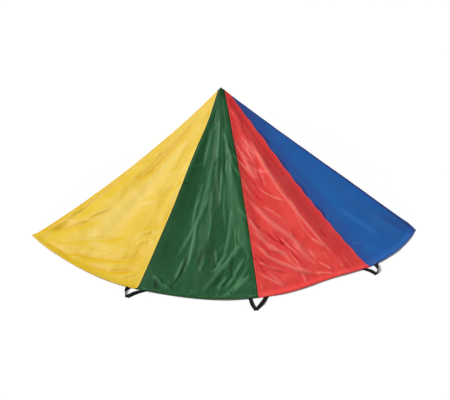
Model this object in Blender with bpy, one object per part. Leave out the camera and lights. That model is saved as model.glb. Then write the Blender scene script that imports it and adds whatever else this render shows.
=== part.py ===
"""Play parachute: twelve cloth gores sewn to one peak, with a webbing handle at each seam.

It stands as a low tent. The front gores spread to their full length over the ground. Behind the two
front corners the cloth drops in soft folds, and the rest of its length is tucked under, flat on the
ground. X runs to the right, Y to the back and Z up. The sizes below count from the point under the
peak, and at the end the whole is moved so that the origin is the middle of the ground it covers.
"""

import math

import bpy
import numpy as np
from mathutils import Matrix

SLANT = 1.83  # peak to hem along the cloth
PEAK_HEIGHT = 0.80
CLOTH_THICKNESS = 0.002
PEAK_OPENING = 0.020  # how far from the peak each gore's narrow end stops
SEAM_GAP = 0.0005
FLOOR_BAND = 0.975  # share of the way down at which the front cloth meets the ground

HEM_RADIUS = 1.655  # from the point under the peak
HEM_WAVES = (  # heading and reach in degrees, size outwards
    {"heading": -42.0, "reach": 20.0, "size": -0.022},
    {"heading": 1.0, "reach": 18.0, "size": 0.019},
    {"heading": 27.0, "reach": 14.0, "size": -0.040},
    {"heading": 50.0, "reach": 13.0, "size": 0.009},
)
FRONT_GORES = (  # headings of a gore's two edges, 0 straight to the front
    {"colour": "yellow", "start": -57.9, "end": -20.1},
    {"colour": "green", "start": -20.1, "end": 8.1},
    {"colour": "red", "start": 8.1, "end": 38.1},
)
BLUE_START = 38.1
RIGHT_CORNER = 60.5  # the last front gore folds round to the back here
BLUE_SHARE_BEHIND = 0.28  # the part of that gore that lies behind the fold
BACK_COLOURS = ("yellow", "green", "red", "blue") * 2
FRONT_STEPS = 8  # strips across a gore
BACK_STEPS = 10
CORNER_STEPS = (5, 4)  # before and behind the fold
WALL_ROWS = 11

SIDE_BOWS = (0.050, 0.105)  # how far the right and the left side curve inwards
BACK_CENTRE = 0.95  # how far behind the peak the rounded back is centred
BACK_ROUND = 0.35
RIPPLE_DEPTH = 0.100
RIPPLES = 16  # folds between the two corners, round the back
RIPPLE_DRIFT = 0.9

FOLD_OUT = 0.003  # the tucked cloth turns round a small roll
FOLD_RISE = 0.0085
FLAP_ROWS = 3
FLAP_AIMS = (  # the tucked cloth at this ground y runs in towards this y on the middle line
    {"ground": -0.80, "aim": -0.50},
    {"ground": 0.10, "aim": -0.25},
    {"ground": 0.67, "aim": 0.08},
    {"ground": 1.00, "aim": 0.45},
    {"ground": 1.30, "aim": 0.90},
)
SMALLEST_FLAP = 0.070
MIDDLE_CLEAR = 0.020  # the tucked cloth stops this far from the middle line

SAGS = (  # how far a line from peak to hem hangs below a straight one
    {"heading": -57.9, "sag": 0.066},
    {"heading": -20.1, "sag": 0.052},
    {"heading": 8.1, "sag": 0.045},
    {"heading": 38.1, "sag": 0.048},
    {"heading": 60.5, "sag": 0.008},
)
BACK_SAG = 0.050
SAG_BLEND = 0.12  # share of the way round the back over which the sag changes from a corner's
FRONT_FOLDS = (  # headings at the top and bottom, where it starts and ends, reach, height
    {"top": -52.0, "bottom": -48.0, "start": 0.25, "end": 1.05, "reach": 6.0, "height": 0.012},
    {"top": -38.0, "bottom": -36.0, "start": 0.30, "end": 1.05, "reach": 7.0, "height": -0.012},
    {"top": -20.1, "bottom": -20.1, "start": 0.05, "end": 1.05, "reach": 5.0, "height": 0.012},
    {"top": -9.0, "bottom": -8.0, "start": 0.10, "end": 1.05, "reach": 9.0, "height": -0.020},
    {"top": 8.1, "bottom": 8.1, "start": 0.10, "end": 1.10, "reach": 5.5, "height": 0.006},
    {"top": 14.5, "bottom": 16.0, "start": 0.10, "end": 1.05, "reach": 6.5, "height": -0.012},
    {"top": 26.0, "bottom": 32.0, "start": 0.08, "end": 1.02, "reach": 6.5, "height": 0.036},
    {"top": 38.1, "bottom": 38.1, "start": 0.05, "end": 1.05, "reach": 5.0, "height": -0.020},
    {"top": 52.0, "bottom": 50.0, "start": 0.20, "end": 1.05, "reach": 7.5, "height": 0.014},
)

STRAP_WIDTH = 0.025
STRAP_THICKNESS = 0.0015
STRAP_SPREAD = 0.054  # from the seam to the middle of each strap end
STRAP_GAP = 0.0006
STRAP_ROWS = 6
STRAP_TURN = 0.00115  # radius of the turn at the folded tip
FRONT_HANDLES = (  # which seam, how far the folded tip is out and to the side, how high a leg arches
    {"seam": 1, "out": 0.099, "side": -0.020, "arch": 0.030},
    {"seam": 2, "out": 0.126, "side": -0.040, "arch": 0.006},
    {"seam": 3, "out": 0.086, "side": -0.034, "arch": 0.024},
)
TUCKED_OUT = 0.150
TUCKED_INSET = 0.030
CORNER_HANDLE = {  # the left corner's strap ends, in from its two edges and along them
    "hem_inset": 0.0475,
    "back_inset": 0.008,
    "along_hem": 0.058,
    "along_back": 0.082,
    "reach": 0.20,
}

COLOURS = {
    "yellow": (0.85, 0.63, 0.09),
    "green": (0.03, 0.12, 0.05),
    "red": (0.60, 0.06, 0.05),
    "blue": (0.03, 0.12, 0.40),
    "webbing": (0.015, 0.014, 0.018),
}


def hump(offset):
    """A smooth bump: 1 at 0, falling to 0 at -1 and 1."""
    return 0.5 + 0.5 * math.cos(math.pi * offset) if abs(offset) < 1 else 0.0


def toward(heading):
    angle = math.radians(heading)
    return np.array((math.sin(angle), -math.cos(angle)))


def front_ground(heading):
    waves = sum(w["size"] * hump((heading - w["heading"]) / w["reach"]) for w in HEM_WAVES)
    return toward(heading) * (HEM_RADIUS + waves)


def back_path():
    """The outline behind the two front corners as a function of distance, with its length."""
    centre = np.array((0.0, BACK_CENTRE))
    corners = (front_ground(RIGHT_CORNER), front_ground(FRONT_GORES[0]["start"]))
    angles = []
    for corner, side in zip(corners, (1, -1)):
        away = corner - centre
        swing = math.acos(BACK_ROUND / np.linalg.norm(away))
        angles.append(math.atan2(away[1], away[0]) + side * swing)
    first, last = angles[0], angles[1] + 2 * math.pi
    touch = [centre + BACK_ROUND * np.array((math.cos(a), math.sin(a))) for a in (first, last)]
    runs = [np.linalg.norm(touch[0] - corners[0]), BACK_ROUND * (last - first)]
    runs.append(np.linalg.norm(corners[1] - touch[1]))

    def place(distance):
        if distance < runs[0]:
            along = distance / runs[0]
            bow = np.array((math.cos(first), math.sin(first))) * SIDE_BOWS[0] * math.sin(math.pi * along)
            return corners[0] + (touch[0] - corners[0]) * along - bow, first
        if distance < runs[0] + runs[1]:
            angle = first + (distance - runs[0]) / BACK_ROUND
            return centre + BACK_ROUND * np.array((math.cos(angle), math.sin(angle))), angle
        along = (distance - runs[0] - runs[1]) / runs[2]
        bow = np.array((math.cos(last), math.sin(last))) * SIDE_BOWS[1] * math.sin(math.pi * along)
        return touch[1] + (corners[1] - touch[1]) * along - bow, last

    return place, sum(runs)


def back_ground(share, place, length):
    """A point on the rippled outline; the folds lie on the inner side of the plain one."""
    point, facing = place(share * length)
    turn = 2 * math.pi * (RIPPLES * share + RIPPLE_DRIFT * math.sin(3.1 * math.pi * share) / 3)
    depth = RIPPLE_DEPTH * (0.75 + 0.25 * math.sin(9 * share)) * min(1.0, 7 * share, 7 * (1 - share))
    inward = -np.array((math.cos(facing), math.sin(facing)))
    return point + inward * depth * (0.5 - 0.5 * math.cos(turn))


def even_shares(place, length, count=1200):
    """Ground shares against the cloth angle at the peak, so that gores behind are cut alike."""
    shares = np.linspace(0, 1, count)
    rays = np.array([(*back_ground(s, place, length), -PEAK_HEIGHT) for s in shares])
    rays /= np.linalg.norm(rays, axis=1)[:, None]
    steps = np.linalg.norm(np.diff(rays, axis=0), axis=1)
    return shares, np.concatenate([[0], np.cumsum(steps)])


def front_column(heading):
    """One line of the cloth from the peak down: its ground point, sag and length tucked under."""
    sag = float(np.interp(heading, [s["heading"] for s in SAGS], [s["sag"] for s in SAGS]))
    ground = front_ground(heading)
    out = ground / np.linalg.norm(ground)
    return {"ground": ground, "heading": heading, "sag": sag, "flap": 0.0, "out": out}


def back_column(share, place, length):
    ground = back_ground(share, place, length)
    aim = float(np.interp(ground[1], [a["ground"] for a in FLAP_AIMS], [a["aim"] for a in FLAP_AIMS]))
    out = ground - np.array((0.0, aim))
    tuck = min(SLANT - math.hypot(*ground, PEAK_HEIGHT), np.linalg.norm(out) - MIDDLE_CLEAR)
    corners = (0.0, SAG_BLEND, 1 - SAG_BLEND, 1.0)
    sag = float(np.interp(share, corners, (SAGS[-1]["sag"], BACK_SAG, BACK_SAG, SAGS[0]["sag"])))
    flap = 0.0 if tuck < SMALLEST_FLAP else tuck
    return {"ground": ground, "heading": None, "sag": sag, "flap": flap, "out": out / np.linalg.norm(out)}


def fold_height(heading, down):
    total = 0.0
    for fold in FRONT_FOLDS:
        along = (down - fold["start"]) / (fold["end"] - fold["start"])
        if 0 < along < 1:
            middle = fold["top"] + (fold["bottom"] - fold["top"]) * along
            total += fold["height"] * math.sin(math.pi * along) * hump((heading - middle) / fold["reach"])
    return total


def wall_point(col, down):
    x, y = col["ground"] * down
    level = PEAK_HEIGHT * (1 - down) - col["sag"] * 4 * down * (1 - down)
    if col["heading"] is None:
        floor = FOLD_RISE if col["flap"] else CLOTH_THICKNESS / 2
        return x, y, max(level, floor)
    if down >= FLOOR_BAND:
        return x, y, CLOTH_THICKNESS / 2
    meet = PEAK_HEIGHT * (1 - FLOOR_BAND) - col["sag"] * 4 * FLOOR_BAND * (1 - FLOOR_BAND)
    level += fold_height(col["heading"], down) - meet * down
    return x, y, max(level, CLOTH_THICKNESS / 2)


def flap_points(col):
    """The turn at the ground and the tucked length, running in towards the middle."""
    rest = CLOTH_THICKNESS / 2
    places = [(FOLD_OUT, (FOLD_RISE + rest) / 2), (0.0, rest)]
    places += [(-col["flap"] * row / FLAP_ROWS, rest) for row in range(1, FLAP_ROWS + 1)]
    return [(*(col["ground"] + col["out"] * shift), level) for shift, level in places]


def all_columns():
    """Every column once round the tent, with the gores as (colour, first column, last column)."""
    columns, gores = [], []

    def add_front(start, end, steps):
        for step in range(steps):
            heading = start + (end - start) * step / steps
            columns.append(front_column(heading))

    for gore in FRONT_GORES:
        gores.append([gore["colour"], len(columns)])
        add_front(gore["start"], gore["end"], FRONT_STEPS)
    gores.append(["blue", len(columns)])
    add_front(BLUE_START, RIGHT_CORNER, CORNER_STEPS[0])
    columns.append(front_column(RIGHT_CORNER))

    place, length = back_path()
    shares, angles = even_shares(place, length)
    whole = angles[-1] / (BLUE_SHARE_BEHIND + len(BACK_COLOURS))
    marks = [BLUE_SHARE_BEHIND * whole * (step + 1) / CORNER_STEPS[1] for step in range(CORNER_STEPS[1])]
    for gore in range(len(BACK_COLOURS)):
        start = (BLUE_SHARE_BEHIND + gore) * whole
        marks += [start + whole * (step + 1) / BACK_STEPS for step in range(BACK_STEPS)]
    for mark in marks[:-1]:
        share = float(np.interp(mark, angles, shares))
        columns.append(back_column(share, place, length))
    first_back = gores[-1][1] + sum(CORNER_STEPS)
    gores += [[colour, first_back + BACK_STEPS * n] for n, colour in enumerate(BACK_COLOURS)]
    starts = [gore[1] for gore in gores] + [len(columns)]
    return columns, [(gore[0], start, end) for gore, start, end in zip(gores, starts, starts[1:])]


def cloth_surface(columns):
    """The middle of the cloth: points by (column, row), and each gore strip's triangles."""
    points, index = [], {}

    def put(key, point):
        index[key] = len(points)
        points.append(point)

    count = len(columns)
    downs = [FLOOR_BAND * row / (WALL_ROWS - 1) for row in range(1, WALL_ROWS)] + [1.0]
    for c, col in enumerate(columns):
        put((c, 0), wall_point(col, PEAK_OPENING / HEM_RADIUS))
        for row, down in enumerate(downs, 1):
            put((c, row), wall_point(col, down))
        if col["flap"]:
            for row, point in enumerate(flap_points(col), WALL_ROWS + 1):
                put((c, row), point)
    strips = []
    last_row = WALL_ROWS + 2 + FLAP_ROWS
    for c in range(count):
        near, far = c, (c + 1) % count
        strip = []
        for row in range(last_row):
            corners = [(near, row), (near, row + 1), (far, row + 1), (far, row)]
            if all(corner in index for corner in corners):
                a, b, d, e = (index[corner] for corner in corners)
                strip += [(a, b, d), (a, d, e)]
        strips.append(strip)
    return np.array(points), index, strips


def point_normals(points, triangles):
    corners = points[triangles]
    faces = np.cross(corners[:, 1] - corners[:, 0], corners[:, 2] - corners[:, 0])
    normals = np.zeros_like(points)
    faces /= np.maximum(np.linalg.norm(faces, axis=1), 1e-12)[:, None]
    for corner in range(3):
        np.add.at(normals, triangles[:, corner], faces)
    return normals / np.maximum(np.linalg.norm(normals, axis=1), 1e-12)[:, None]


def make_material(name):
    material = bpy.data.materials.new(name)
    material.use_nodes = True
    shader = material.node_tree.nodes["Principled BSDF"]
    shader.inputs["Base Color"].default_value = (*COLOURS[name], 1.0)
    shader.inputs["Roughness"].default_value = 0.8 if name == "webbing" else 0.35
    shader.inputs["Metallic"].default_value = 0.0
    return material


def make_sheet(name, points, triangles, normals, thickness, material):
    """A closed solid, half the thickness to each side of a surface of triangles."""
    used = sorted({i for triangle in triangles for i in triangle})
    place = {old: new for new, old in enumerate(used)}
    half = normals[used] * thickness / 2
    vertices = np.concatenate([points[used] + half, points[used] - half])
    count = len(used)
    outer = [tuple(place[i] for i in triangle) for triangle in triangles]
    edges = {(t[k], t[(k + 1) % 3]) for t in outer for k in range(3)}
    faces = list(outer) + [(c + count, b + count, a + count) for a, b, c in outer]
    for a, b in sorted(edges):
        if (b, a) in edges:
            continue
        # Both cloths at a seam split their edge walls the same way, so that the walls stay parallel.
        if a < b:
            faces += [(b, a, b + count), (a, a + count, b + count)]
        else:
            faces += [(b, a, a + count), (b, a + count, b + count)]
    mesh = bpy.data.meshes.new(name)
    mesh.from_pydata(vertices.tolist(), [], faces)
    mesh.materials.append(material)
    mesh.shade_smooth()
    mesh.set_sharp_from_angle(angle=math.radians(40))
    sheet = bpy.data.objects.new(name, mesh)
    bpy.context.scene.collection.objects.link(sheet)
    return sheet


def make_gore(name, first, last, surface, normals, material):
    """One gore, its two seams drawn in by half the gap that keeps it off its neighbours."""
    points, index, strips = surface
    triangles = [t for c in range(first, last) for t in strips[c]]
    own = points.copy()
    for seam, side in ((first, 1), (last % len(strips), -1)):
        line = [index[(seam, row)] for row in range(WALL_ROWS + 3 + FLAP_ROWS) if (seam, row) in index]
        for place, i in enumerate(line):
            run = points[line[min(place + 1, len(line) - 1)]] - points[line[max(place - 1, 0)]]
            across = np.cross(normals[i], run)
            own[i] += side * across / np.linalg.norm(across) * SEAM_GAP / 2
    return make_sheet(name, own, triangles, normals, CLOTH_THICKNESS, material)


def make_strap(name, ends, tip, across, arch, base, material):
    """A flat strap from one end to a tip folded straight over, and on top of itself to the other.

    ends are two (left, right) edge pairs in plan, tip is in plan, and across runs along the fold.
    """
    outward = np.array((across[1], -across[0]))
    if outward @ (tip - ends[0][0]) < 0:
        outward = -outward
    leg = tip - (ends[0][0] + ends[0][1]) / 2
    half_fold = across * STRAP_WIDTH / 2 * np.linalg.norm(leg) / abs(leg @ outward)
    fold = (tip - half_fold, tip + half_fold)
    rows = []
    for step in range(STRAP_ROWS):
        along = step / STRAP_ROWS
        level = base + arch * math.sin(math.pi * along) ** 2
        rows.append([(*(ends[0][side] * (1 - along) + fold[side] * along), level) for side in (0, 1)])
    for angle in (-90, -30, 30, 90):
        push = outward * STRAP_TURN * math.cos(math.radians(angle))
        level = base + STRAP_TURN * (1 + math.sin(math.radians(angle)))
        rows.append([(*(fold[side] + push), level) for side in (0, 1)])
    for step in range(1, STRAP_ROWS + 1):
        along = step / STRAP_ROWS
        lift = 2 * STRAP_TURN * min(1.0, 2 * (1 - along))
        level = base + lift + arch * math.sin(math.pi * along) ** 2
        rows.append([(*(fold[side] * (1 - along) + ends[1][side] * along), level) for side in (0, 1)])
    points = np.array([point for row in rows for point in row])
    triangles = []
    for row in range(len(rows) - 1):
        a, b, c, d = 2 * row, 2 * row + 1, 2 * row + 3, 2 * row + 2
        triangles += [(a, b, c), (a, c, d)]
    normals = point_normals(points, np.array(triangles))
    return make_sheet(name, points, triangles, normals, STRAP_THICKNESS, material)


def hem_end(seam_point, beside_point, shift):
    """The two edges of a strap end that lies along the hem, STRAP_SPREAD from its seam."""
    run = (beside_point - seam_point) / np.linalg.norm(beside_point - seam_point)
    middle = seam_point + run * STRAP_SPREAD + shift
    return middle - run * STRAP_WIDTH / 2, middle + run * STRAP_WIDTH / 2


def hem_points(columns, c):
    """Plan points of the hem at a seam and at the columns before and after it."""
    found = []
    for near in (c - 1, c, (c + 1) % len(columns)):
        found.append(columns[near]["ground"] - columns[near]["out"] * columns[near]["flap"])
    return found


def make_front_handle(name, columns, c, row, material):
    before, seam, after = hem_points(columns, c)
    out = seam / np.linalg.norm(seam)
    across = np.array((-out[1], out[0]))
    ends = []
    for beside in (before, after):
        run = (beside - seam) / np.linalg.norm(beside - seam)
        square = np.array((run[1], -run[0]))
        square *= 1 if square @ out > 0 else -1
        pair = hem_end(seam, beside, square * STRAP_GAP)
        ends.append(pair if (pair[1] - pair[0]) @ across > 0 else pair[::-1])
    tip = seam + out * row["out"] + across * row["side"]
    return make_strap(name, ends, tip, across, row["arch"], STRAP_THICKNESS / 2, material)


def make_tucked_handle(name, columns, c, material):
    """A handle turned back on top of the tucked cloth, its tip towards the outside."""
    seam, out = hem_points(columns, c)[1], columns[c]["out"]
    across = np.array((-out[1], out[0]))
    ends = []
    for side in (-1, 1):
        middle = seam + across * side * STRAP_SPREAD + out * TUCKED_INSET
        ends.append((middle - across * STRAP_WIDTH / 2, middle + across * STRAP_WIDTH / 2))
    tip = seam + out * (TUCKED_INSET + TUCKED_OUT)
    base = CLOTH_THICKNESS + STRAP_GAP + STRAP_THICKNESS / 2
    return make_strap(name, ends, tip, across, 0.0, base, material)


def make_corner_handle(name, columns, material):
    """The left corner's handle, turned under the cloth and flat on the ground inside it."""
    corner = columns[0]["ground"]
    hem_run = (columns[1]["ground"] - corner) / np.linalg.norm(columns[1]["ground"] - corner)
    back_run = (columns[-1]["ground"] - corner) / np.linalg.norm(columns[-1]["ground"] - corner)
    hem_in = np.array((-hem_run[1], hem_run[0]))
    back_in = np.array((back_run[1], -back_run[0]))
    ends = []
    for run, inward, along, inset in (
        (back_run, back_in, CORNER_HANDLE["along_back"], CORNER_HANDLE["back_inset"]),
        (hem_run, hem_in, CORNER_HANDLE["along_hem"], CORNER_HANDLE["hem_inset"]),
    ):
        middle = corner + run * along + inward * inset
        ends.append((middle - run * STRAP_WIDTH / 2, middle + run * STRAP_WIDTH / 2))
    ends[0] = ends[0][::-1]
    inward = -corner / np.linalg.norm(corner)
    across = np.array((inward[1], -inward[0]))
    tip = corner + inward * CORNER_HANDLE["reach"]
    return make_strap(name, ends, tip, across, 0.0, STRAP_THICKNESS / 2, material)


def centre_on_ground(things):
    """Moves the meshes so that the origin is in the middle of the ground that they cover."""
    corners = np.array([vertex.co for thing in things for vertex in thing.data.vertices])
    middle = (corners.min(axis=0) + corners.max(axis=0)) / 2
    for thing in things:
        thing.data.transform(Matrix.Translation((-middle[0], -middle[1], 0.0)))


def main():
    for thing in list(bpy.data.objects):
        bpy.data.objects.remove(thing, do_unlink=True)
    materials = {name: make_material(name) for name in COLOURS}
    columns, gores = all_columns()
    surface = cloth_surface(columns)
    triangles = np.array([t for strip in surface[2] for t in strip])
    normals = point_normals(surface[0], triangles)
    for number, (colour, first, last) in enumerate(gores, 1):
        make_gore(f"gore_{number:02d}_{colour}", first, last, surface, normals, materials[colour])
    webbing = materials["webbing"]
    make_corner_handle("handle_01", columns, webbing)
    front = {row["seam"]: row for row in FRONT_HANDLES}
    for seam in range(1, len(gores)):
        name, c = f"handle_{seam + 1:02d}", gores[seam][1]
        if seam in front:
            make_front_handle(name, columns, c, front[seam], webbing)
        else:
            make_tucked_handle(name, columns, c, webbing)
    centre_on_ground([thing for thing in bpy.data.objects if thing.type == "MESH"])


main()
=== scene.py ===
import math

import bmesh
import bpy
import numpy as np
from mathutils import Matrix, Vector


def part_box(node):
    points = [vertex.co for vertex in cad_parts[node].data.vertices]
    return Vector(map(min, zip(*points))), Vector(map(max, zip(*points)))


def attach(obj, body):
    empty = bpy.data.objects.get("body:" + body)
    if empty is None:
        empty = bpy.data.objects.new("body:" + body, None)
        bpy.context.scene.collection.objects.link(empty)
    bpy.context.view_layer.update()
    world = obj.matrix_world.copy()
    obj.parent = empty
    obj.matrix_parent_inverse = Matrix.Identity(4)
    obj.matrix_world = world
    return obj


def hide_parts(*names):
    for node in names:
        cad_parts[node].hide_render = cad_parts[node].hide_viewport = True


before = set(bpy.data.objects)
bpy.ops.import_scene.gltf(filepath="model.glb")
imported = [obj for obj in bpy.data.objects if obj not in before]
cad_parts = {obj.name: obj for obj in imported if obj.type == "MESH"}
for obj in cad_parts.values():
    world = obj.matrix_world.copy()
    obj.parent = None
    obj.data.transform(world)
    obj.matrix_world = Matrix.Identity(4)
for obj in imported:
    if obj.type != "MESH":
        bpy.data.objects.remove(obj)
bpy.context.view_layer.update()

print("frame loaded:", len(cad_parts), "pieces")

# the canopy as it stands: metres, degrees, headings from the foot of the peak, 0 straight to the front
canopy = {
    "slant": 1.83,  # peak to hem along the cloth
    "height": 0.80,
    "hemRadius": 1.655,
    "hemWaves": (  # where the hem swings in or out: heading, reach, by how much
        (-42.0, 20.0, -0.022), (1.0, 18.0, 0.019), (27.0, 14.0, -0.040), (50.0, 13.0, 0.009),
    ),
    "leftCorner": -57.9,
    "rightCorner": 60.5,
    "frontSeams": (-20.1, 8.1, 38.1),
    "blueBehind": 0.28,  # share of a back gore that the fourth gore has behind its corner
    "floorBand": 0.975,  # from here down the front cloth lies on the ground
    "sags": ((-57.9, 0.066), (-20.1, 0.052), (8.1, 0.045), (38.1, 0.048), (60.5, 0.008)),
    "peakRise": (0.014, 0.22),  # the drawn-up tip and how far down it is felt
    "cornerRolls": ((61.0, 6.0, 0.024), (-56.3, 2.6, 0.011)),  # doubled cloth: heading, reach, height
    "cornerRollEnd": 0.016,  # share of the way down over which the rolls die away at the hem
    "backSag": 0.050,
    "sagBlend": 0.12,
    "centre": (0.010, 0.087),  # where all gores meet, a hand's width behind the peak
    "tipRound": 0.007,
    "tipLean": 0.009,
    "landing": 0.006,  # how softly the cloth meets the ground
    "frontEnds": (1.5, 26.0),  # degrees over which front turns to back, right and left
}

# the drawn-in outline behind the two corners
back = {
    "bows": (0.050, 0.105),  # how far the right and the left side bend in
    "centre": 0.95,
    "round": 0.35,
    "rippleDepth": 0.100,
    "rippleVary": (0.25, 9),  # by how much the depth varies, and how fast
    "rippleEnds": 7,  # the ripples come up over one part in this many at both ends
    "ripples": 16,
    "drift": 0.9,  # how unevenly the ripples are spread
    "samples": 1200,
    "rippleStart": 0.12,  # the ripples fade in from here down
    "rippleFull": 0.42,
    "foldOut": 0.003,
    "foldRise": 0.0085,
    "foldFull": 0.10,  # this much surplus cloth and more makes the full fold
    "smallestFlap": 0.030,
    "middleClear": 0.020,
    "cornerTuck": (0.050, 0.11),  # how far the cloth behind the left corner is drawn in, and how soon
    "tuckEnd": (0.2, 0.4),  # it runs out from here, over this distance
    "aims": (  # by how far back the hem stands, the point that its tucked cloth runs towards
        (-0.80, -0.50), (0.10, -0.25), (0.67, 0.08), (1.00, 0.45), (1.30, 0.90),
    ),
    "tuckWave": 0.060,  # the tucked cloth lies in creases this far apart
    "tuckHeight": 0.027,
    "tuckRise": (0.30, 0.012),  # how steeply the creases come up, and from where
}

cloth = {
    "thickness": 0.0012,
    "hemWidth": 0.025,
    "hemExtra": 0.0012,
    "lapWidth": 0.012,
    "lapLift": 0.0013,
    "roundCorner": 0.022,
    "topShare": 0.10,  # the closer rows at the peak end here
    "edgePart": 0.06,  # part of a lap between a seam and the first column beside it
    "liftPart": 0.92,  # part of a lap that stands on the cloth below
    "mostLap": 0.10,
    "narrowLap": 0.3,
    "underDrop": 0.0010,  # the lap at the left corner lies this far under
    "backWidth": 0.80,  # of the blue gore at the corner and those at the back
    "slope": 25.8,  # of the front cloth, in degrees
    "floorClear": 0.00005,
    "frontColumns": 136,
    "backColumns": 50,
    "topRows": 26,
    "wallRows": (172, 64),  # front, back
    "tuckRows": 54,
    "firstRow": 0.004,
    "hemRows": (-0.0040, -0.0010, 0.0, 0.0008, 0.004, 0.008),  # close at the hem's fold
    "lastRows": (0.9985, 1.0),
    "foldColumns": (-0.012, -0.006, -0.003, 0.0, 0.004, 0.008),  # closer round the folded corner
    "cornerColumns": (0.20, 0.34, 0.48, 0.62, 0.76),  # parts of the lap, where the edge goes round the sharp fold
}

# broad folds that run down from the peak: top, bottom, start, end, reach in degrees, height
broadFolds = (
    (-52.0, -48.0, 0.25, 1.05, 6.0, 0.012),
    (-38.0, -36.0, 0.30, 1.05, 7.0, -0.012),
    (-20.1, -20.1, 0.05, 1.05, 5.0, 0.012),
    (-10.5, -9.5, 0.10, 1.05, 8.5, -0.019),
    (8.1, 8.1, 0.10, 1.10, 7.0, 0.016),
    (14.5, 16.0, 0.10, 1.05, 6.5, -0.010),
    (25.0, 32.3, 0.08, 1.02, 6.5, 0.036),
    (38.1, 38.1, 0.05, 1.05, 5.0, -0.020),
    (52.0, 50.0, 0.20, 1.05, 7.5, 0.014),
)

# creases, listed: (heading, share down) from end to end, width, height, lean to one side
creases = {
    "yellow": (
        (((-57.2, 0.95), (-51.5, 0.86), (-45.0, 0.76)), 0.034, -0.016, 0.3),
        (((-56.7, 0.83), (-54.6, 0.76)), 0.014, 0.006, 0.0),
        (((-50.2, 0.79), (-45.3, 0.70)), 0.014, 0.007, 0.2),
        (((-43.0, 0.10), (-43.4, 0.38), (-44.4, 0.60)), 0.050, -0.005, 0.0),
        (((-46.5, 0.91), (-38.0, 0.83), (-31.0, 0.77)), 0.028, -0.007, 0.3),
        (((-45.1, 0.965), (-36.0, 0.92), (-28.2, 0.89), (-21.1, 0.83)), 0.026, -0.008, 0.3),
        (((-38.2, 0.975), (-29.0, 0.95), (-21.0, 0.91)), 0.020, -0.006, 0.2),
        (((-28.0, 0.76), (-22.0, 0.71)), 0.018, 0.006, 0.3),
        (((-27.0, 0.80), (-21.5, 0.75)), 0.016, 0.005, 0.3),
        (((-25.9, 0.96), (-21.6, 0.92)), 0.012, 0.005, 0.0),
        (((-53.6, 0.980), (-47.0, 0.972), (-41.3, 0.970)), 0.018, -0.006, 0.0),
        (((-42.0, 0.970), (-39.4, 0.940)), 0.010, 0.005, 0.0),
        (((-22.6, 0.16), (-22.6, 0.45), (-23.4, 0.70)), 0.034, 0.009, 0.0),
    ),
    "green": (
        (((-5.7, 0.32), (-8.5, 0.60), (-11.4, 0.73), (-13.3, 0.84)), 0.015, 0.010, 0.3),
        (((-9.0, 0.60), (-9.3, 0.69), (-9.3, 0.86)), 0.012, 0.007, -0.3),
        (((-10.9, 0.81), (-11.9, 0.93)), 0.011, 0.006, 0.0),
        (((-5.0, 0.47), (-4.3, 0.76)), 0.011, 0.006, 0.3),
        (((0.5, 0.36), (-1.0, 0.60)), 0.015, 0.007, -0.2),
        (((1.2, 0.19), (5.0, 0.30), (7.4, 0.40)), 0.013, 0.007, 0.0),
        (((4.0, 0.59), (2.4, 0.70), (0.5, 0.81)), 0.015, 0.011, 0.5),
        (((-1.9, 0.76), (-1.4, 0.85)), 0.009, 0.005, 0.0),
        (((-5.0, 0.81), (-5.9, 0.87)), 0.009, 0.005, 0.0),
        (((7.4, 0.74), (-0.5, 0.86), (-5.0, 0.975)), 0.015, 0.010, 0.4),
        (((6.9, 0.81), (0.7, 0.955)), 0.013, 0.008, -0.3),
        (((7.4, 0.89), (1.9, 0.970)), 0.013, 0.008, 0.3),
        (((-18.5, 0.91), (-15.0, 0.95), (-11.6, 0.97)), 0.010, 0.006, 0.3),
        (((-13.0, 0.16), (-12.0, 0.40)), 0.016, 0.006, 0.0),
        (((-2.5, 0.12), (-3.5, 0.38)), 0.014, 0.006, 0.0),
    ),
    "red": (
        (((26.0, 0.24), (25.0, 0.35), (27.3, 0.56), (29.2, 0.71), (30.8, 0.84), (33.0, 0.965)), 0.013, 0.008, 0.3),
        (((31.0, 0.13), (25.5, 0.33), (21.3, 0.53)), 0.014, -0.010, 0.2),
        (((12.6, 0.38), (19.9, 0.55)), 0.014, -0.009, 0.3),
        (((14.8, 0.32), (18.5, 0.44)), 0.013, 0.007, 0.0),
        (((10.4, 0.53), (17.0, 0.66), (23.2, 0.79), (24.4, 0.85)), 0.022, 0.017, 0.4),
        (((10.0, 0.63), (18.0, 0.765), (23.2, 0.825)), 0.011, -0.010, 0.2),
        (((9.4, 0.69), (15.0, 0.79), (20.0, 0.84)), 0.014, 0.010, 0.4),
        (((8.8, 0.74), (13.0, 0.825), (19.9, 0.915), (24.4, 0.955)), 0.019, 0.016, 0.4),
        (((8.8, 0.80), (13.5, 0.875), (18.5, 0.93)), 0.010, -0.008, 0.2),
        (((8.8, 0.84), (16.1, 0.895)), 0.011, 0.008, 0.3),
        (((8.9, 0.89), (15.4, 0.972)), 0.012, 0.008, 0.3),
        (((28.5, 0.80), (30.8, 0.86)), 0.010, 0.007, 0.0),
        (((26.6, 0.905), (29.2, 0.965)), 0.010, 0.007, 0.2),
        (((24.2, 0.945), (28.9, 0.978)), 0.010, 0.007, 0.2),
    ),
    "blue": (
        (((39.8, 0.86), (41.6, 0.90)), 0.010, 0.005, 0.2),
        (((45.5, 0.70), (49.0, 0.93)), 0.030, 0.003, 0.0),
    ),
}
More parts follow.
